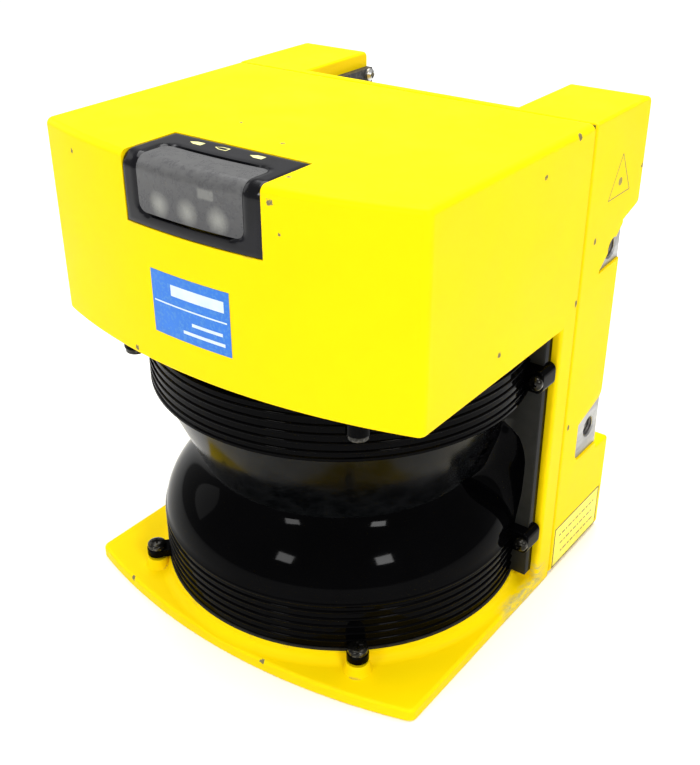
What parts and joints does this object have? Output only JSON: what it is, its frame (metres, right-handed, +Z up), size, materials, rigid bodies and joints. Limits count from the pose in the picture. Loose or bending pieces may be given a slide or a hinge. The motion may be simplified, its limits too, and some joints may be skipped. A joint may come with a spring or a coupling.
{
  "type": "lidar scanner module",
  "caption": "Wall-mounted 2D laser scanner: yellow cast head and base around a black waisted window, indicator cover, rear connector boxes, spinning mirror inside.",
  "frame": {"origin": "on the scan axis, at the flat underside of the base plate", "axes": "+Z up along the scan axis, -Y to the front of the scanner, +X to the right when seen from the front"},
  "size_m": [0.155, 0.156, 0.185],
  "materials": {
    "yellow_casting": "satin powder coat over die-cast aluminium",
    "black_rubber": "matte",
    "zinc_screws": "satin zinc plate",
    "smoked_window": "gloss infrared filter plastic",
    "dark_screws": "gloss black",
    "gloss_black": "gloss",
    "grey_lens": "gloss smoky diffuser",
    "clear_plastic": "polished",
    "led_white": "gloss",
    "green_board": "satin solder mask",
    "blue_badge": "gloss foil",
    "yellow_label": "satin foil",
    "black_plastic": "matte",
    "plated_sheet": "satin tin plate",
    "nickel_posts": "satin nickel plate",
    "grey_ribbon": "matte",
    "bare_aluminium": "machined",
    "black_aluminium": "matte black anodised",
    "optical_glass": "polished and coated",
    "mirror_glass": "polished front-surface mirror",
    "brass_can": "satin",
    "lamination_steel": "matte",
    "copper_wire": "enamelled",
    "bearing_steel": "ground"
  },
  "bodies": {
    "housing": {"front_housing": "yellow_casting", "rear_housing": "yellow_casting", "housing_gasket": "black_rubber", "housing_screws": "zinc_screws", "scan_window": "smoked_window", "window_seal_upper": "black_rubber", "window_seal_lower": "black_rubber", "window_seal_sides": "black_rubber", "window_screws": "dark_screws", "window_side_screws": "dark_screws", "indicator_bezel": "gloss_black", "indicator_lens": "grey_lens", "light_guides": "clear_plastic", "indicator_leds": "led_white", "indicator_board": "green_board", "front_badge": "blue_badge", "type_label": "yellow_label", "connector_covers": "black_plastic", "connector_cover_screws": "zinc_screws", "cable_glands": "black_plastic", "gland_nuts": "zinc_screws", "blanking_plugs": "black_plastic", "plug_sockets": "plated_sheet", "main_board": "green_board", "main_board_parts": "black_plastic", "power_board": "green_board", "power_board_parts": "black_plastic", "board_standoffs": "nickel_posts", "ribbon_cable": "grey_ribbon", "optics_plate": "bare_aluminium", "optics_plate_screws": "zinc_screws", "lens_barrel": "black_aluminium", "receiver_lens": "optical_glass", "lens_ring": "black_aluminium", "transmit_tube": "black_aluminium", "fold_mirror": "mirror_glass", "fold_mirror_bars": "black_plastic", "light_hood": "black_plastic", "laser_module": "brass_can", "laser_lens": "clear_plastic", "laser_bracket": "bare_aluminium", "laser_board": "green_board", "receiver_board": "green_board", "photodiode": "nickel_posts", "monitor_emitter_board": "green_board", "monitor_emitters": "black_plastic", "monitor_detector_board": "green_board", "monitor_detectors": "black_plastic", "motor_housing": "black_aluminium", "motor_cap": "black_aluminium", "motor_screws": "zinc_screws", "stator_core": "lamination_steel", "stator_coils": "copper_wire", "bearing_outer_rings": "bearing_steel", "bearing_balls": "bearing_steel", "encoder_bracket": "black_plastic"},
    "rotor": {"bearing_inner_rings": "bearing_steel", "rotor_shaft": "bearing_steel", "mirror_carrier": "black_aluminium", "scan_mirror": "mirror_glass"}
  },
  "joints": [
    {"name": "scan_spin", "type": "hinge", "parent": "housing", "child": "rotor", "pos_m": [0, 0, 0.073], "axis": [0, 0, 1], "continuous": true}
  ]
}
